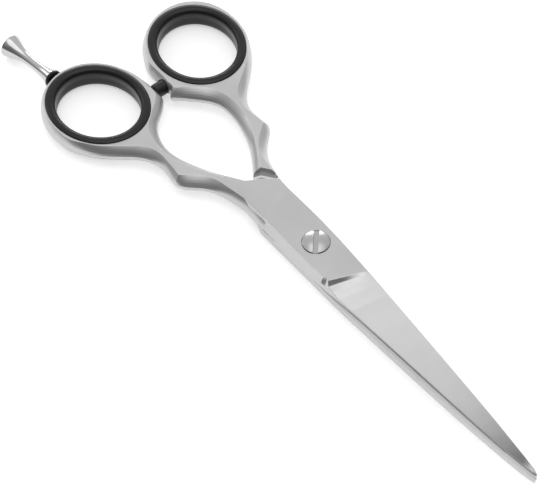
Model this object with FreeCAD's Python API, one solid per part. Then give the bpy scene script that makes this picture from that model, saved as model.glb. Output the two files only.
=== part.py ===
import FreeCAD, Part
import math
import os

# Hair cutting shears, 7 inch class, right handed, closed at rest.
# Frame: millimetres, +X towards the blade tips, +Z up through the screw head,
# origin on the pivot axis in the plane the closed shears lie on (z = 0).
# The finger half is the upper half, the thumb half is the lower half, and the
# two meet in the ride plane.

V = FreeCAD.Vector

# ---------------------------------------------------------------- dimensions
RIDE = 3.20            # height of the ride plane between the two halves
RIDE_GAP = 0.02        # each half stands back this far from the ride plane
PLATE_TOP = 6.40       # outer face of the upper ricasso
PLATE_BOT = 0.00       # outer face of the lower ricasso
HANDLE_TOP = 5.90      # flat top faces of arms and rings
HANDLE_BOT = 0.50      # flat under faces of arms and rings
FLANK_EXP = 1.8        # how full the rounded flanks of arms and rings are

# centre of each finger hole, and the angle between its long axis and X; the
# thumb ring is given turned over, in the same quadrant as the finger ring
RING_AT = {False: (-74.18, -16.80, 12.0), True: (-74.62, -17.20, 9.0)}
OVAL = 0.862                     # short / long axis of the holes and inserts
HOLE_A = 14.34                   # hole in the steel, half the long axis
INSERT_SEAT = 14.28              # insert body, half the long axis
INSERT_OUT = 15.50               # insert flange
INSERT_IN = 12.38                # insert opening at its lips
INSERT_MID = 12.56               # insert opening between its lips
INSERT_H = 6.40                  # insert height over both flanges

SHOULDER_D = 5.00      # pivot screw bearing diameter
SCREW_FIT = 0.03       # radial running clearance
THREAD_D = 4.00
HEAD_D = 7.20
HEAD_SEAT = 5.95       # floor of the head recess
HEAD_RIM = 6.62        # top of the head's cylindrical rim
HEAD_DOME = 7.35       # crown of the head
RECESS_D = 7.56
SLOT_W, SLOT_FLOOR, SLOT_ANGLE = 1.35, 6.35, -41.7
SCREW_TAIL = 0.04      # lower end of the screw
WASHER_D, WASHER_T = 9.00, 0.50

BUMPER_D = 4.20
BUMPER_X = -69.75
BUMPER_BASE = 2.60     # flat on the thumb ring that carries the bumper
BUMPER_END = -1.16     # rubber face; the finger ring's flat is 0.04 beyond

REST_ANGLE = 187.8     # direction of the finger rest in plan
REST_X, REST_Y = -90.90, -20.15   # where its axis leaves the ring
REST_Z = 3.42
REST_WASHER_T, REST_WASHER_D = 1.05, 5.20

# flank data: pairs of (crest outline, flat face outline), from the ricasso out
# along the outer side of the arm to the knuckle bump and on to the ring, then
# the side that faces the other arm. The thumb half is given turned over, in
# the same quadrant as the finger half.
OUTER_ARM_FINGER = [
    ((-13.50, -6.90), (-13.50, -5.60)), ((-16.99, -6.85), (-17.00, -5.55)),
    ((-21.60, -6.63), (-21.80, -5.33)), ((-25.29, -7.23), (-25.09, -5.82)),
    ((-28.66, -8.12), (-28.57, -6.50)), ((-30.91, -9.11), (-31.82, -7.15)),
    ((-33.26, -10.65), (-34.89, -8.43)), ((-35.27, -12.63), (-36.94, -10.16)),
    ((-37.22, -14.62), (-38.68, -12.18)), ((-39.88, -15.80), (-40.45, -14.20)),
]
OUTER_WAIST_FINGER = [
    ((-39.88, -15.80), (-40.45, -14.20)), ((-43.04, -15.65), (-43.31, -13.95)),
    ((-45.39, -15.31), (-45.59, -13.83)), ((-47.91, -15.48), (-48.31, -13.70)),
    ((-50.44, -16.41), (-51.40, -14.21)), ((-53.06, -18.22), (-54.20, -15.79)),
    ((-55.50, -20.83), (-56.61, -18.60)), ((-58.03, -23.84), (-59.18, -21.69)),
    ((-61.11, -26.74), (-61.79, -24.87)), ((-64.90, -29.19), (-65.30, -27.64)),
]
WINDOW_FINGER = [
    ((-65.24, -1.37), (-66.21, -3.07)), ((-63.53, -2.70), (-64.51, -4.69)),
    ((-62.11, -4.20), (-63.13, -6.45)), ((-60.87, -5.71), (-61.19, -8.53)),
    ((-59.53, -7.29), (-59.38, -10.47)), ((-57.76, -8.60), (-57.71, -11.45)),
    ((-55.60, -9.60), (-55.45, -12.15)), ((-53.24, -10.24), (-53.01, -12.59)),
    ((-50.40, -10.49), (-50.00, -12.62)), ((-47.34, -10.07), (-47.31, -12.36)),
    ((-43.68, -8.86), (-43.92, -11.54)), ((-40.62, -7.57), (-41.00, -10.22)),
    ((-37.65, -6.20), (-38.03, -8.79)), ((-34.89, -4.59), (-35.36, -7.19)),
    ((-32.22, -2.78), (-32.78, -5.73)), ((-29.52, -0.93), (-30.09, -4.33)),
    ((-26.82, 0.75), (-27.38, -2.63)),
]
OUTER_ARM_THUMB = [
    ((-13.50, -6.69), (-13.50, -5.42)), ((-16.99, -6.49), (-16.99, -5.22)),
    ((-21.61, -6.47), (-21.81, -5.19)), ((-25.31, -7.11), (-25.10, -5.76)),
    ((-28.75, -7.86), (-28.61, -6.36)), ((-31.15, -8.68), (-31.94, -6.95)),
    ((-33.67, -10.16), (-34.99, -8.31)), ((-35.79, -12.10), (-37.07, -10.02)),
    ((-37.58, -14.09), (-38.77, -12.05)), ((-39.90, -15.72), (-40.50, -14.20)),
]
OUTER_WAIST_THUMB = [
    ((-39.90, -15.72), (-40.50, -14.20)), ((-43.02, -15.46), (-43.32, -14.03)),
    ((-45.39, -15.27), (-45.59, -13.81)), ((-47.92, -15.46), (-48.30, -13.71)),
    ((-50.50, -16.33), (-51.27, -14.40)), ((-53.11, -18.18), (-54.15, -15.85)),
    ((-55.61, -20.71), (-56.58, -18.63)), ((-58.32, -23.51), (-59.06, -21.83)),
    ((-61.42, -26.30), (-61.80, -24.85)), ((-65.12, -28.82), (-65.36, -27.55)),
]
WINDOW_THUMB = [
    ((-65.02, -0.99), (-66.05, -2.79)), ((-63.37, -2.44), (-64.51, -4.68)),
    ((-61.89, -3.93), (-63.12, -6.43)), ((-60.40, -5.29), (-61.23, -8.56)),
    ((-58.91, -6.70), (-59.29, -10.38)), ((-57.30, -8.00), (-57.60, -11.30)),
    ((-55.39, -9.18), (-55.39, -12.03)), ((-53.15, -9.91), (-52.99, -12.50)),
    ((-50.39, -10.09), (-50.00, -12.52)), ((-47.37, -9.88), (-47.32, -12.31)),
    ((-43.59, -9.12), (-43.90, -11.61)), ((-40.37, -8.15), (-40.87, -10.53)),
    ((-37.29, -6.90), (-37.85, -9.15)), ((-34.41, -5.37), (-35.13, -7.57)),
    ((-31.65, -3.62), (-32.51, -6.13)), ((-28.96, -1.75), (-29.81, -4.72)),
    ((-26.28, 0.00), (-27.12, -3.02)),
]
# ring outline as (angle about the ring centre, crest radius, face radius)
RING_FINGER = [
    (-68, 15.25, 14.20), (-82, 15.00, 13.90), (-98, 15.15, 14.10), (-114, 15.50, 14.50),
    (-130, 15.95, 15.00), (-146, 16.60, 15.60), (-162, 17.10, 15.95), (-176, 17.30, 16.00),
    (-190, 17.10, 15.75), (-204, 16.50, 15.25), (-218, 15.80, 14.70), (-232, 15.30, 14.25),
    (-246, 15.10, 14.00),
]
RING_THUMB = [
    (-68, 14.75, 13.95), (-82, 14.85, 13.90), (-98, 15.20, 14.15), (-114, 15.85, 14.85),
    (-130, 16.80, 15.70), (-146, 17.55, 16.35), (-162, 17.90, 16.60), (-176, 17.75, 16.30),
    (-190, 17.20, 15.75), (-204, 16.40, 15.20), (-218, 15.80, 14.70), (-232, 15.45, 14.25),
    (-246, 15.30, 13.95),
]
RING_SPLIT = 7         # the ring outline is drawn as two runs that meet here
# ring outline near the other ring: finger ring, then thumb ring (mirrored y)
NEAR_FINGER = [
    ((-77.5, -1.95), (-77.3, -3.00)), ((-73.5, -1.15), (-73.5, -2.62)),
    ((-70.0, -0.72), (-70.0, -2.35)), ((-67.6, -0.62), (-67.9, -2.25)),
    ((-65.9, -0.80), (-66.9, -2.45)),
]
NEAR_THUMB = [
    ((-77.5, -1.75), (-77.3, -3.00)), ((-73.5, -1.45), (-73.5, -2.95)),
    ((-70.0, -1.55), (-70.0, -2.92)), ((-67.8, -1.95), (-68.1, -2.85)),
    ((-66.0, -2.45), (-66.9, -2.95)),
]

# blade ribs of the upper half from the plunge line to the tip:
# (edge x, edge y, face height at the edge, spine x, spine y, spine height,
#  how far the spine flank stands out at the ride plane)
BLADE_FINGER = [
    (10.9, -6.55, 3.18, 15.4, 4.55, 3.18, 0.90),
    (11.9, -6.50, 1.95, 16.3, 4.50, 3.17, 0.89),
    (13.6, -6.36, 1.35, 17.8, 4.42, 3.14, 0.87),
    (16.5, -6.13, 0.92, 20.0, 4.27, 3.09, 0.85),
    (21.0, -5.72, 0.60, 24.0, 3.98, 3.02, 0.80),
    (30.0, -5.12, 0.52, 32.0, 3.43, 2.88, 0.72),
    (45.0, -4.27, 0.50, 46.4, 2.42, 2.62, 0.58),
    (58.0, -3.54, 0.48, 58.9, 1.50, 2.38, 0.46),
    (67.0, -2.98, 0.46, 67.5, 0.83, 2.20, 0.36),
    (75.0, -2.32, 0.44, 75.2, 0.10, 2.02, 0.26),
    (80.5, -1.72, 0.42, 80.6, -0.42, 1.86, 0.18),
    (83.6, -1.30, 0.40, 83.6, -0.72, 1.50, 0.10),
    (85.0, -1.06, 0.30, 85.0, -0.92, 0.70, 0.03),
]
# lower half in its own mirrored coordinates: y is measured towards -Y of the
# object, so its spine is the side that shows past the upper cutting edge
BLADE_THUMB = [
    (10.9, -6.05, 3.18, 15.4, 6.27, 3.18, 0.43),
    (11.9, -6.00, 1.95, 16.3, 6.25, 3.15, 0.43),
    (13.6, -5.87, 1.35, 17.8, 6.22, 3.11, 0.43),
    (16.5, -5.62, 0.92, 20.0, 6.17, 3.07, 0.43),
    (21.0, -5.22, 0.60, 24.0, 6.00, 3.02, 0.43),
    (30.0, -4.42, 0.52, 32.0, 5.68, 2.90, 0.42),
    (45.0, -2.95, 0.50, 46.4, 4.98, 2.72, 0.38),
    (58.0, -1.55, 0.48, 58.9, 4.32, 2.56, 0.34),
    (67.0, -0.52, 0.46, 67.5, 3.68, 2.44, 0.30),
    (75.0, 0.30, 0.44, 75.2, 3.04, 2.32, 0.26),
    (80.5, 0.80, 0.42, 80.6, 2.52, 2.20, 0.20),
    (83.6, 1.06, 0.40, 83.6, 2.14, 2.02, 0.12),
    (85.4, 1.26, 0.30, 85.4, 1.86, 1.60, 0.04),
]
EDGE_LEAN = 1.35 / 3.20    # the edge flank leans in this much per mm of height


def spline(points):
    if len(points) == 2:
        return Part.LineSegment(points[0], points[1]).toShape()
    c = Part.BSplineCurve()
    c.interpolate(Points=points)
    return c.toShape()


def ring_point(thumb, angle, radius):
    cx, cy, _ = RING_AT[thumb]
    a = math.radians(angle)
    return (cx + radius * math.cos(a), cy + radius * math.sin(a))


def handle_segments(thumb):
    """Arm and ring outline as runs of (crest, flat face) pairs, closed."""
    arm, waist, window, near, table = (
        (OUTER_ARM_THUMB, OUTER_WAIST_THUMB, WINDOW_THUMB, NEAR_THUMB, RING_THUMB) if thumb else
        (OUTER_ARM_FINGER, OUTER_WAIST_FINGER, WINDOW_FINGER, NEAR_FINGER, RING_FINGER))
    ring = [(ring_point(thumb, a, c), ring_point(thumb, a, f)) for a, c, f in table]
    root = ((-19.0, 3.0), (-19.0, 1.0)), ((-13.5, 0.0), (-13.5, -0.6))
    return [arm,
            waist + ring[:RING_SPLIT + 1],
            ring[RING_SPLIT:] + near,
            [near[-1]] + window,
            [window[-1], root[0]],
            [root[0], root[1]],
            [root[1], arm[0]]]


def section(runs, k, z):
    """Closed wire between the crest outline (k = 0) and the face outline (k = 1)."""
    edges = []
    for run in runs:
        pts = [V(c[0] + (t[0] - c[0]) * k, c[1] + (t[1] - c[1]) * k, z) for c, t in run]
        edges.append(spline(pts))
    return Part.Wire(edges)


def handle(thumb):
    """Arm and ring as one rounded forging, widest at the ride plane."""
    runs = handle_segments(thumb)
    parts = []
    for z_face in (HANDLE_BOT, HANDLE_TOP):
        wires = []
        for t in (0.0, 0.22, 0.42, 0.60, 0.75, 0.88, 1.0):
            wires.append(section(runs, t ** FLANK_EXP, RIDE + (z_face - RIDE) * t))
        parts.append(Part.makeLoft(wires, True, True))
    return parts[0], parts[1]


def oval_prism(thumb, a, z0, z1):
    """Elliptic prism through a ring's hole."""
    cx, cy, tilt = RING_AT[thumb]
    e = Part.Ellipse(V(0, 0, 0), a, a * OVAL)
    f = Part.Face(Part.Wire(e.toShape()))
    s = f.extrude(V(0, 0, z1 - z0))
    s.rotate(V(0, 0, 0), V(0, 0, 1), tilt)
    s.translate(V(cx, cy, z0))
    return s


def rib_wire(rib, lift):
    """Cross section of a blade at one rib, seen along the blade."""
    ex, ey, eh, sx, sy, sh, so = rib
    dx, dy = sx - ex, sy - ey
    n = math.hypot(dx, dy)
    ux, uy = dx / n, dy / n
    lean = EDGE_LEAN * eh
    flank = so * sh / 3.2
    pts = [V(ex, ey, lift), V(ex + ux * lean, ey + uy * lean, lift + eh),
           V(sx, sy, lift + sh), V(sx + ux * flank, sy + uy * flank, lift)]
    return Part.makePolygon(pts + [pts[0]])


def blade(ribs, lift):
    out = None
    for a, b in zip(ribs[:-1], ribs[1:]):
        piece = Part.makeLoft([rib_wire(a, lift), rib_wire(b, lift)], True, True)
        out = piece if out is None else out.fuse(piece)
    return out


def slab(crest, face, z0, z1):
    """Prism with leaning sides between two polygons with the same corners."""
    w0 = Part.makePolygon([V(x, y, z0) for x, y in crest + crest[:1]])
    w1 = Part.makePolygon([V(x, y, z1) for x, y in face + face[:1]])
    return Part.makeLoft([w0, w1], True, True)


def prism(points, z0, z1):
    w = Part.makePolygon([V(x, y, z0) for x, y in points + points[:1]])
    return Part.Face(w).extrude(V(0, 0, z1 - z0))


def run_out(px, py, angle, z_floor, radius, length=60.0):
    """Grinding run-out: clears everything above z_floor behind a line and
    climbs out of the cut on a cylinder of the given radius."""
    cyl = Part.makeCylinder(radius, length, V(0, -length / 2, z_floor + radius), V(0, 1, 0))
    box = Part.makeBox(90, length, 2 * radius, V(-90, -length / 2, z_floor))
    tool = cyl.fuse(box)
    tool.rotate(V(0, 0, 0), V(0, 0, 1), angle)
    tool.translate(V(px, py, 0))
    return tool


def mirror_to_lower(shape):
    """The lower half is the upper half turned over about the X axis."""
    s = shape.copy()
    s.rotate(V(0, 0, RIDE), V(1, 0, 0), 180)
    return s


def hollow(ribs, lift, depth, margin_edge, margin_spine, x0, x1):
    """Shallow hollow in the ride side of a blade, clear of edge and spine."""
    lo, hi = [], []
    for ex, ey, eh, sx, sy, sh, so in ribs:
        if ex < x0 or ex > x1:
            continue
        lo.append((ex, ey + margin_edge))
        hi.append((sx, sy + so - margin_spine))
    out = None
    for (a, b), (c, d) in zip(zip(lo[:-1], hi[:-1]), zip(lo[1:], hi[1:])):
        def tri(p, q):
            mx, my = (p[0] + q[0]) / 2, (p[1] + q[1]) / 2
            return Part.makePolygon([V(p[0], p[1], lift - 0.01), V(mx, my, lift + depth),
                                     V(q[0], q[1], lift - 0.01), V(p[0], p[1], lift - 0.01)])
        piece = Part.makeLoft([tri(a, b), tri(c, d)], True, True)
        out = piece if out is None else out.fuse(piece)
    return out


def shoulder_keep(line, cove, toward):
    """Region a half may fill below its ride side: everything behind the
    shoulder line, with a concave radius where the wall meets the ride side."""
    lift = RIDE + RIDE_GAP
    far = [(-125, 45), (-125, -45)]
    def at(d):
        return [(x + toward[0] * d, y + toward[1] * d) for x, y in line] + far
    out = prism(at(0.0), -5.0, lift - cove)
    steps = 6
    for i in range(steps):
        a0, a1 = (math.pi / 2) * i / steps, (math.pi / 2) * (i + 1) / steps
        d0, h0 = cove * (1 - math.cos(a0)), cove * math.sin(a0)
        d1, h1 = cove * (1 - math.cos(a1)), cove * math.sin(a1)
        out = out.fuse(slab(at(d0), at(d1), lift - cove + h0, lift - cove + h1))
    return out


def build_half(thumb):
    """One half, modelled as an upper half: ride side down at z = RIDE."""
    lift = RIDE + RIDE_GAP
    low, high = handle(thumb)

    ribs = BLADE_THUMB if thumb else BLADE_FINGER
    b = blade(ribs, lift)

    # ricasso plate: crest outline at the ride plane and outline of its face
    if thumb:
        spine_face = [(15.4, 6.27), (3.0, 6.36), (-9.0, 6.58), (-15.1, 6.62)]
        spine_crest = [(15.55, 6.67), (3.0, 6.74), (-9.0, 6.93), (-15.9, 6.98)]
        back_face = [(-16.0, 5.60), (-21.0, 1.2), (-26.6, -2.4)]
        back_crest = [(-16.7, 5.75), (-21.3, 1.9), (-27.0, -1.6)]
        edge_face = [(-26.0, -5.2), (-21.8, -5.19), (-17.0, -5.25), (-4.8, -5.45), (4.0, -5.25)]
        edge_crest = [(-26.0, -6.4), (-21.6, -6.47), (-17.0, -6.50), (-4.8, -6.72), (4.0, -6.48)]
        keep = shoulder_keep(SHOULDER_THUMB, 1.5, (0.8, 0.6))
    else:
        spine_face = [(15.4, 4.55), (3.4, 5.25), (-5.0, 5.48), (-13.6, 5.42), (-18.2, 5.30)]
        spine_crest = [(15.74, 5.38), (3.4, 6.12), (-5.0, 6.32), (-13.6, 6.26), (-18.2, 6.15)]
        back_face = [(-22.4, 5.62), (-23.1, 5.05), (-26.35, 0.25), (-27.6, -1.90)]
        back_crest = [(-22.8, 6.42), (-23.7, 5.45), (-26.95, 0.70), (-28.4, -1.35)]
        edge_face = [(-26.0, -5.2), (-21.8, -5.32), (-17.0, -5.50), (-4.8, -5.62), (4.0, -5.56)]
        edge_crest = [(-26.0, -6.4), (-21.6, -6.62), (-17.0, -6.82), (-4.8, -6.93), (4.0, -6.86)]
        keep = shoulder_keep(SHOULDER_FINGER, 0.45, (0.6, 0.8))
    ex, ey = ribs[0][0], ribs[0][1]
    dx, dy = ribs[0][3] - ex, ribs[0][4] - ey
    n = math.hypot(dx, dy)
    top_edge = (ex + dx / n * 1.35, ey + dy / n * 1.35)
    face = [top_edge] + spine_face + back_face + edge_face
    crst = [(ex, ey)] + spine_crest + back_crest + edge_crest
    plate = slab(crst, face, lift, PLATE_TOP)
    plate = plate.cut(run_out(-24.4, 0.0, 22.0, HANDLE_TOP, 60.0))

    if thumb:
        # nothing of the arm stands beyond the back edge of the ricasso
        high = high.cut(prism([(-28.9, -1.1), (-27.0, -1.6), (-21.3, 1.9), (-15.9, 5.9),
                               (-15.9, 9.0), (-28.9, 9.0)], 0.0, 12.0))
    body = high.fuse([low.common(keep), plate, b]).removeSplitter()
    # small scallop where the ricasso corner meets the plunge
    body = body.cut(Part.makeCylinder(0.75, 5, V(ex - 0.55, ey + 0.78, lift + 1.1)))
    below = Part.makeBox(230, 80, 12, V(-120, -40, lift - 12)).cut(keep)
    return body.cut(below)


# wall line where each half comes up to full depth behind its ricasso
SHOULDER_FINGER = [(-17.6, -45), (-17.6, -7.6), (-21.5, -2.6), (-28.3, 1.6), (-28.3, 45)]
SHOULDER_THUMB = [(-25.4, -45), (-25.4, -6.6), (-28.7, -4.2), (-29.9, -0.5), (-29.9, 45)]


def one_solid(shape):
    """The single solid inside a boolean result."""
    solids = sorted(shape.Solids, key=lambda s: s.Volume)
    return solids[-1]


def ring_insert(thumb):
    """Soft oval insert with a rounded lip on both faces of the ring."""
    mid = INSERT_H / 2
    seat_top = HANDLE_TOP + 0.01
    lip = [V(INSERT_OUT, 0, seat_top), V(INSERT_OUT - 0.16, 0, 6.10), V(14.98, 0, 6.27),
           V(14.25, 0, 6.395), V(13.60, 0, 6.33), V(13.05, 0, 6.09), V(12.64, 0, 5.68),
           V(12.43, 0, 5.16), V(INSERT_IN, 0, 4.62), V(12.46, 0, 4.05), V(INSERT_MID, 0, mid)]
    low = [V(p.x, 0, INSERT_H - p.z) for p in reversed(lip)]
    inner = Part.BSplineCurve()
    inner.interpolate(Points=lip + low[1:])
    back = [low[-1], V(INSERT_SEAT, 0, INSERT_H - seat_top), V(INSERT_SEAT, 0, seat_top), lip[0]]
    wire = Part.Wire([inner.toShape()] + [Part.LineSegment(a, b).toShape()
                                          for a, b in zip(back[:-1], back[1:])])
    ring = Part.Face(wire).revolve(V(0, 0, 0), V(0, 0, 1), 360)
    m = FreeCAD.Matrix()
    m.scale(1.0, OVAL, 1.0)
    ring = ring.transformGeometry(m)
    ring = one_solid(ring) if ring.Solids else Part.Solid(ring)
    cx, cy, tilt = RING_AT[thumb]
    ring.rotate(V(0, 0, 0), V(0, 0, 1), tilt)
    ring.translate(V(cx, cy, 0))
    if thumb:
        ring.rotate(V(0, 0, RIDE), V(1, 0, 0), 180)
    return ring


def turned(profile):
    """Solid of revolution about Z from (radius, height) points."""
    pts = [V(r, 0, z) for r, z in profile]
    return Part.Face(Part.makePolygon(pts + [pts[0]])).revolve(V(0, 0, 0), V(0, 0, 1), 360)


def pivot_screw():
    r_s, r_t, r_h = SHOULDER_D / 2, THREAD_D / 2 - 0.05, HEAD_D / 2
    z_sh = RIDE - RIDE_GAP - WASHER_T / 2 + 0.02 + 0.01
    p = [V(0, 0, SCREW_TAIL), V(r_t - 0.3, 0, SCREW_TAIL), V(r_t, 0, SCREW_TAIL + 0.3),
         V(r_t, 0, z_sh), V(r_s, 0, z_sh), V(r_s, 0, HEAD_SEAT + 0.02),
         V(r_h, 0, HEAD_SEAT + 0.02), V(r_h, 0, HEAD_RIM)]
    edges = [Part.LineSegment(a, b).toShape() for a, b in zip(p[:-1], p[1:])]
    a, c = V(r_h, 0, HEAD_RIM), V(0, 0, HEAD_DOME)
    s = HEAD_DOME - HEAD_RIM
    rad = (r_h * r_h + s * s) / (2 * s)
    ang = math.asin(r_h / rad) / 2
    b = V(rad * math.sin(ang), 0, HEAD_DOME - rad * (1 - math.cos(ang)))
    edges.append(Part.Arc(a, b, c).toShape())
    edges.append(Part.LineSegment(c, p[0]).toShape())
    body = Part.Face(Part.Wire(edges)).revolve(V(0, 0, 0), V(0, 0, 1), 360)
    slot = Part.makeBox(12, SLOT_W, 3, V(-6, -SLOT_W / 2, SLOT_FLOOR))
    slot.rotate(V(0, 0, 0), V(0, 0, 1), SLOT_ANGLE)
    return one_solid(body.cut(slot))


def bumper():
    r, e = BUMPER_D / 2, 0.45
    length = BUMPER_BASE - BUMPER_END
    p = [V(0, 0, 0), V(r - e, 0, 0), V(r, 0, e), V(r, 0, length - 0.15), V(r - 0.15, 0, length),
         V(1.0, 0, length), V(1.0, 0, length + 0.85), V(0, 0, length + 0.85)]
    k = math.sqrt(0.5)
    edges = [Part.LineSegment(p[0], p[1]).toShape(),
             Part.Arc(p[1], V(r - e + e * k, 0, e - e * k), p[2]).toShape()]
    edges += [Part.LineSegment(a, b).toShape() for a, b in zip(p[2:-1], p[3:])]
    edges.append(Part.LineSegment(p[-1], p[0]).toShape())
    s = Part.Face(Part.Wire(edges)).revolve(V(0, 0, 0), V(0, 0, 1), 360)
    s.rotate(V(0, 0, 0), V(1, 0, 0), -90)
    s.translate(V(BUMPER_X, BUMPER_END, RIDE))
    return one_solid(s)


def along_rest(shape):
    """Place a shape built along +Z from the ring so it points out of the ring."""
    s = shape.copy()
    s.rotate(V(0, 0, 0), V(0, 1, 0), -90)
    s.rotate(V(0, 0, 0), V(0, 0, 1), REST_ANGLE - 180)
    s.translate(V(REST_X, REST_Y, REST_Z))
    return s


def finger_rest():
    """Turned trumpet: a waisted stem that flares into the finger pad."""
    base = REST_WASHER_T
    stem = [(2.32, 0.0), (2.25, 0.35), (2.08, 1.1), (1.88, 2.1), (1.70, 3.1), (1.54, 4.4),
            (1.44, 5.7), (1.38, 7.2), (1.38, 8.4), (1.46, 9.7), (1.60, 11.0), (1.82, 12.2),
            (2.12, 13.4), (2.50, 14.6), (2.86, 15.6), (3.14, 16.5), (3.28, 17.1)]
    curve = Part.BSplineCurve()
    curve.interpolate(Points=[V(r, 0, base + z) for r, z in stem])
    a, b = V(3.28, 0, base + 17.1), V(3.12, 0, base + 17.65)
    top = V(0, 0, base + 18.05)
    rad = (b.x ** 2 + (top.z - b.z) ** 2) / (2 * (top.z - b.z))
    ang = math.asin(b.x / rad) / 2
    mid = V(rad * math.sin(ang), 0, top.z - rad * (1 - math.cos(ang)))
    edges = [Part.LineSegment(V(0, 0, base), V(2.32, 0, base)).toShape(), curve.toShape(),
             Part.Arc(a, V(3.38, 0, base + 17.42), b).toShape(), Part.Arc(b, mid, top).toShape(),
             Part.LineSegment(top, V(0, 0, base)).toShape()]
    horn = Part.Face(Part.Wire(edges)).revolve(V(0, 0, 0), V(0, 0, 1), 360)
    tail = Part.makeCylinder(1.0, base + 2.2 + 0.5, V(0, 0, -2.2))
    return along_rest(one_solid(one_solid(horn).fuse(tail)))


def finger_rest_washer():
    t, r = REST_WASHER_T, REST_WASHER_D / 2
    ring = turned([(1.04, 0.0), (r - 0.2, 0.0), (r, 0.22), (r, t - 0.30), (r - 0.35, t), (1.04, t)])
    return along_rest(one_solid(ring))


def main():
    os.makedirs("parts", exist_ok=True)
    lift = RIDE + RIDE_GAP
    out = {}

    # finger half: the upper one, with the running fit for the pivot screw
    body = build_half(False)
    body = body.cut(oval_prism(False, HOLE_A, -5, 15))
    body = body.cut(hollow(BLADE_FINGER, lift, 0.16, 0.55, 0.75, 21.0, 75.5))
    body = body.cut(Part.makeCylinder(SHOULDER_D / 2 + SCREW_FIT, 10, V(0, 0, 0)))
    body = body.cut(Part.makeCylinder(RECESS_D / 2, 5, V(0, 0, HEAD_SEAT)))
    body = body.cut(Part.makeCylinder(WASHER_D / 2 + 0.15, WASHER_T / 2 + 0.01, V(0, 0, RIDE)))
    body = body.cut(Part.makeBox(12, 6, 10, V(-75.6, BUMPER_END - 0.04, -1)))
    body = body.cut(along_rest(Part.makeCylinder(REST_WASHER_D / 2 + 0.15, 6, V(0, 0, 0))))
    body = body.cut(along_rest(Part.makeCylinder(1.03, 2.3, V(0, 0, -2.3))))
    out["finger_half"] = one_solid(body)

    # thumb half: the lower one, threaded for the screw, with the bumper's flat
    body = build_half(True)
    body = body.cut(oval_prism(True, HOLE_A, -5, 15))
    body = body.cut(hollow(BLADE_THUMB, lift, 0.16, 0.55, 0.75, 21.0, 75.5))
    body = mirror_to_lower(body)
    body = body.cut(Part.makeCylinder(THREAD_D / 2, 10, V(0, 0, -2)))
    body = body.cut(Part.makeCylinder(WASHER_D / 2 + 0.05, 2, V(0, 0, RIDE - RIDE_GAP - WASHER_T / 2 + 0.01)))
    body = body.cut(Part.makeCylinder(BUMPER_D / 2 + 0.12, 8, V(BUMPER_X, BUMPER_BASE - 8, RIDE), V(0, 1, 0)))
    body = body.cut(Part.makeCylinder(1.02, 3, V(BUMPER_X, BUMPER_BASE - 2.1, RIDE), V(0, 1, 0)))
    out["thumb_half"] = one_solid(body)

    z_w = RIDE - RIDE_GAP - WASHER_T / 2 + 0.01
    washer = Part.makeCylinder(WASHER_D / 2, WASHER_T - 0.01, V(0, 0, z_w))
    out["glide_washer"] = washer.cut(Part.makeCylinder(SHOULDER_D / 2 + 0.05, 2, V(0, 0, z_w - 0.5)))
    out["pivot_screw"] = pivot_screw()
    out["finger_ring_insert"] = ring_insert(False)
    out["thumb_ring_insert"] = ring_insert(True)
    out["bumper"] = bumper()
    out["finger_rest"] = finger_rest()
    out["finger_rest_washer"] = finger_rest_washer()
    return out


shapes = main()
for name, shape in shapes.items():
    shape.exportStep("parts/%s.step" % name)
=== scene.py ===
import math

import bpy
from mathutils import Matrix, Vector

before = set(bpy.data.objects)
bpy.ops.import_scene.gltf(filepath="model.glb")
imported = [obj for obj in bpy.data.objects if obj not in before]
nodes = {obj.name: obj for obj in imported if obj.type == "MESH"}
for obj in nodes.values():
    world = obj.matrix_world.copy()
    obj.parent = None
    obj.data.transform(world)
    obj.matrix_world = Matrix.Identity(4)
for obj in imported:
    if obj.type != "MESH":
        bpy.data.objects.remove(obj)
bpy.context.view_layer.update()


# ------------------------------------------------------------------ materials
def new_material(name):
    m = bpy.data.materials.new(name)
    m.use_nodes = True
    nt = m.node_tree
    nt.nodes.clear()
    out = nt.nodes.new("ShaderNodeOutputMaterial")
    bsdf = nt.nodes.new("ShaderNodeBsdfPrincipled")
    nt.links.new(bsdf.outputs["BSDF"], out.inputs["Surface"])
    return m, nt, bsdf


def coords(nt, scale, rotation=(0.0, 0.0, 0.0)):
    tc = nt.nodes.new("ShaderNodeTexCoord")
    mp = nt.nodes.new("ShaderNodeMapping")
    mp.inputs["Scale"].default_value = scale
    mp.inputs["Rotation"].default_value = rotation
    nt.links.new(tc.outputs["Object"], mp.inputs["Vector"])
    return mp.outputs["Vector"]


def noise(nt, vector, scale, detail=3.0, rough=0.55):
    n = nt.nodes.new("ShaderNodeTexNoise")
    n.inputs["Scale"].default_value = scale
    n.inputs["Detail"].default_value = detail
    n.inputs["Roughness"].default_value = rough
    nt.links.new(vector, n.inputs["Vector"])
    return n.outputs["Fac"]


def ramp(nt, fac, a, b, lo=0.3, hi=0.7):
    r = nt.nodes.new("ShaderNodeMapRange")
    r.inputs["From Min"].default_value = lo
    r.inputs["From Max"].default_value = hi
    r.inputs["To Min"].default_value = a
    r.inputs["To Max"].default_value = b
    nt.links.new(fac, r.inputs["Value"])
    return r.outputs["Result"]


def mix_rgb(nt, fac, a, b):
    m = nt.nodes.new("ShaderNodeMix")
    m.data_type = "RGBA"
    m.inputs["A"].default_value = (*a, 1)
    m.inputs["B"].default_value = (*b, 1)
    nt.links.new(fac, m.inputs["Factor"])
    return m.outputs["Result"]


def math_node(nt, op, a, b):
    m = nt.nodes.new("ShaderNodeMath")
    m.operation = op
    for i, v in enumerate((a, b)):
        if isinstance(v, (int, float)):
            m.inputs[i].default_value = v
        else:
            nt.links.new(v, m.inputs[i])
    return m.outputs[0]


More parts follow.
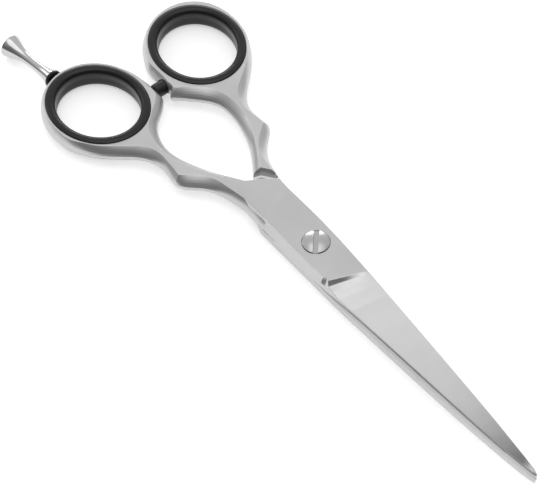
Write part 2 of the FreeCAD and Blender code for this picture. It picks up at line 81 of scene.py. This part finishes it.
def edge_highlight_mask(nt, radius):
    """0 on flats, up to 1 where the surface turns over an edge; the mask for a painted edge highlight."""
    bev = nt.nodes.new("ShaderNodeBevel")
    bev.samples = 6
    bev.inputs["Radius"].default_value = radius
    geo = nt.nodes.new("ShaderNodeNewGeometry")
    dot = nt.nodes.new("ShaderNodeVectorMath")
    dot.operation = "DOT_PRODUCT"
    nt.links.new(bev.outputs["Normal"], dot.inputs[0])
    nt.links.new(geo.outputs["Normal"], dot.inputs[1])
    return ramp(nt, dot.outputs["Value"], 1.0, 0.0, 0.90, 0.999), bev.outputs["Normal"]


def bump(nt, height, strength, distance, normal=None):
    b = nt.nodes.new("ShaderNodeBump")
    b.inputs["Strength"].default_value = strength
    b.inputs["Distance"].default_value = distance
    nt.links.new(height, b.inputs["Height"])
    if normal is not None:
        nt.links.new(normal, b.inputs["Normal"])
    return b.outputs["Normal"]


def satin_steel(name, grain_scale, rough_lo, rough_hi, tone_a, tone_b, edge_radius=0.00018):
    m, nt, bsdf = new_material(name)
    fine = noise(nt, coords(nt, grain_scale), 1.0, 4.0, 0.6)
    cloud = noise(nt, coords(nt, (1, 1, 1)), 55.0, 3.0, 0.5)
    edge_highlight, soft_normal = edge_highlight_mask(nt, edge_radius)
    base = mix_rgb(nt, ramp(nt, cloud, 0.0, 1.0), tone_a, tone_b)
    # Painted edge highlight: the base colour is lightened toward near-white (0.93) over edges to stand in for
    # the bright edge line; the same mask also lowers roughness there.
    lit = nt.nodes.new("ShaderNodeMix")
    lit.data_type = "RGBA"
    nt.links.new(math_node(nt, "MULTIPLY", edge_highlight, 0.75), lit.inputs["Factor"])
    nt.links.new(base, lit.inputs["A"])
    lit.inputs["B"].default_value = (0.93, 0.93, 0.93, 1)
    nt.links.new(lit.outputs["Result"], bsdf.inputs["Base Color"])
    r = ramp(nt, math_node(nt, "ADD", math_node(nt, "MULTIPLY", fine, 0.6),
                           math_node(nt, "MULTIPLY", cloud, 0.4)), rough_lo, rough_hi)
    nt.links.new(math_node(nt, "SUBTRACT", r, math_node(nt, "MULTIPLY", edge_highlight, 0.10)),
                 bsdf.inputs["Roughness"])
    bsdf.inputs["Metallic"].default_value = 1.0
    bsdf.inputs["Anisotropic"].default_value = 0.0
    nt.links.new(bump(nt, fine, 0.10, 0.00002, soft_normal), bsdf.inputs["Normal"])
    return m


def polished(name, tone, rough, scratch=0.03):
    m, nt, bsdf = new_material(name)
    fine = noise(nt, coords(nt, (900, 900, 900)), 1.0, 3.0, 0.6)
    cloud = noise(nt, coords(nt, (1, 1, 1)), 90.0, 2.0, 0.5)
    edge_highlight, soft_normal = edge_highlight_mask(nt, 0.0001)
    nt.links.new(mix_rgb(nt, ramp(nt, cloud, 0, 1), tone, tuple(v * 0.94 for v in tone)),
                 bsdf.inputs["Base Color"])
    nt.links.new(ramp(nt, cloud, rough, rough + scratch), bsdf.inputs["Roughness"])
    bsdf.inputs["Metallic"].default_value = 1.0
    nt.links.new(bump(nt, fine, 0.04, 0.00001, soft_normal), bsdf.inputs["Normal"])
    return m


def soft_rubber(name, base, sheen, rough_lo, rough_hi):
    m, nt, bsdf = new_material(name)
    fine = noise(nt, coords(nt, (1, 1, 1)), 2600.0, 2.0, 0.5)
    cloud = noise(nt, coords(nt, (1, 1, 1)), 120.0, 3.0, 0.55)
    edge_highlight, _ = edge_highlight_mask(nt, 0.0002)
    nt.links.new(mix_rgb(nt, ramp(nt, cloud, 0, 1), base, tuple(v * 1.5 for v in base)),
                 bsdf.inputs["Base Color"])
    nt.links.new(ramp(nt, cloud, rough_lo, rough_hi), bsdf.inputs["Roughness"])
    bsdf.inputs["Specular IOR Level"].default_value = sheen
    bsdf.inputs["Coat Weight"].default_value = 0.10
    bsdf.inputs["Coat Roughness"].default_value = 0.22
    nt.links.new(bump(nt, fine, 0.12, 0.00002), bsdf.inputs["Normal"])
    return m


steel = satin_steel("satin_steel", (260, 1500, 1500), 0.30, 0.40,
                    (0.54, 0.545, 0.54), (0.60, 0.605, 0.60))
screw_mat = polished("screw_steel", (0.50, 0.505, 0.50), 0.24, 0.07)
chrome = polished("mirror_chrome", (0.60, 0.605, 0.60), 0.08, 0.03)
rubber = soft_rubber("soft_black", (0.005, 0.005, 0.0053), 0.36, 0.24, 0.36)
rubber_dull = soft_rubber("dull_black", (0.007, 0.007, 0.0075), 0.35, 0.34, 0.48)

assign = {
    "finger_half": (steel, "steel"), "thumb_half": (steel, "steel"),
    "pivot_screw": (screw_mat, "screw_steel"), "glide_washer": (rubber_dull, "washer_plastic"),
    "thumb_ring_insert": (rubber, "soft_black"), "finger_ring_insert": (rubber, "soft_black"),
    "bumper": (rubber_dull, "soft_black"), "finger_rest": (chrome, "chrome"),
    "finger_rest_washer": (rubber_dull, "washer_plastic"),
}
for n, (mat, s) in assign.items():
    nodes[n].data.materials.clear()
    nodes[n].data.materials.append(mat)


# ---------------------------------------------------------------------- stage
def mesh_object(name, verts, faces):
    me = bpy.data.meshes.new(name)
    me.from_pydata(verts, [], faces)
    me.update()
    o = bpy.data.objects.new(name, me)
    bpy.context.scene.collection.objects.link(o)
    return o


floor = mesh_object("floor", [(-3, -3, 0), (3, -3, 0), (3, 3, 0), (-3, 3, 0)], [(0, 1, 2, 3)])
fm, fnt, fb = new_material("floor_white")
fc = noise(fnt, coords(fnt, (1, 1, 1)), 6.0, 2.0, 0.5)
fnt.links.new(mix_rgb(fnt, ramp(fnt, fc, 0, 1), (0.90, 0.90, 0.90), (0.92, 0.92, 0.92)), fb.inputs["Base Color"])
fb.inputs["Roughness"].default_value = 0.9
fb.inputs["Specular IOR Level"].default_value = 0.1
fb.inputs["Emission Color"].default_value = (1, 1, 1, 1)
fb.inputs["Emission Strength"].default_value = 0.50
floor.data.materials.append(fm)


# --------------------------------------------------------------------- lights
def area(name, pos, target, size, energy):
    d = bpy.data.lights.new(name, "AREA")
    d.shape = "RECTANGLE"
    d.size, d.size_y = size
    d.energy = energy
    o = bpy.data.objects.new(name, d)
    bpy.context.scene.collection.objects.link(o)
    o.location = pos
    o.rotation_euler = (Vector(target) - Vector(pos)).to_track_quat("-Z", "Y").to_euler()
    return o


area("key_soft", (0.02, -0.02, 1.15), (0, 0, 0), (0.95, 0.95), 2.3)
area("left_soft", (-0.95, -0.35, 0.55), (-0.02, 0, 0), (0.35, 0.35), 0.5)
area("far_soft", (-0.70, 0.50, 0.30), (-0.03, 0, 0), (0.55, 0.10), 1.1)

world = bpy.data.worlds.new("studio")
bpy.context.scene.world = world
world.use_nodes = True
wn = world.node_tree
wn.nodes.clear()
wo = wn.nodes.new("ShaderNodeOutputWorld")
wb = wn.nodes.new("ShaderNodeBackground")
tc = wn.nodes.new("ShaderNodeTexCoord")
dt = wn.nodes.new("ShaderNodeVectorMath")
dt.operation = "DOT_PRODUCT"
dt.inputs[1].default_value = (-0.62, 0.45, 0.64)
wn.links.new(tc.outputs["Generated"], dt.inputs[0])
mr = wn.nodes.new("ShaderNodeMapRange")
mr.interpolation_type = "SMOOTHSTEP"
mr.inputs["From Min"].default_value = -0.25
mr.inputs["From Max"].default_value = 1.0
mr.inputs["To Min"].default_value = 0.18
mr.inputs["To Max"].default_value = 0.80
wn.links.new(dt.outputs["Value"], mr.inputs["Value"])
wn.links.new(mr.outputs["Result"], wb.inputs["Strength"])
wb.inputs["Color"].default_value = (1, 1, 1, 1)
wn.links.new(wb.outputs["Background"], wo.inputs["Surface"])

# --------------------------------------------------------------------- camera
E, RHO, PHI, D = math.radians(53.6), math.radians(2.62), math.radians(54.28), 0.500
F_PX = 1947.8
fw = Vector((0, math.cos(E), -math.sin(E)))
rt = Vector((1, 0, 0))
dn = fw.cross(rt)
r = math.cos(RHO) * rt + math.sin(RHO) * dn
d = -math.sin(RHO) * rt + math.cos(RHO) * dn
c = -D * ((46.0 / F_PX) * r + (-0.5 / F_PX) * d + fw)
spin = Matrix.Rotation(PHI, 3, "Z")
r, d, fw, c = spin @ r, spin @ d, spin @ fw, spin @ c
c = c + Vector((0, 0, 0.0066))
cam_data = bpy.data.cameras.new("camera")
cam_data.sensor_width = 36.0
cam_data.lens = F_PX / 540.0 * 36.0
cam_data.clip_start, cam_data.clip_end = 0.01, 20.0
cam = bpy.data.objects.new("camera", cam_data)
bpy.context.scene.collection.objects.link(cam)
up = -d
cam.matrix_world = Matrix(((r.x, up.x, -fw.x, c.x), (r.y, up.y, -fw.y, c.y),
                           (r.z, up.z, -fw.z, c.z), (0, 0, 0, 1)))
bpy.context.scene.camera = cam
bpy.context.scene.view_settings.view_transform = "Standard"
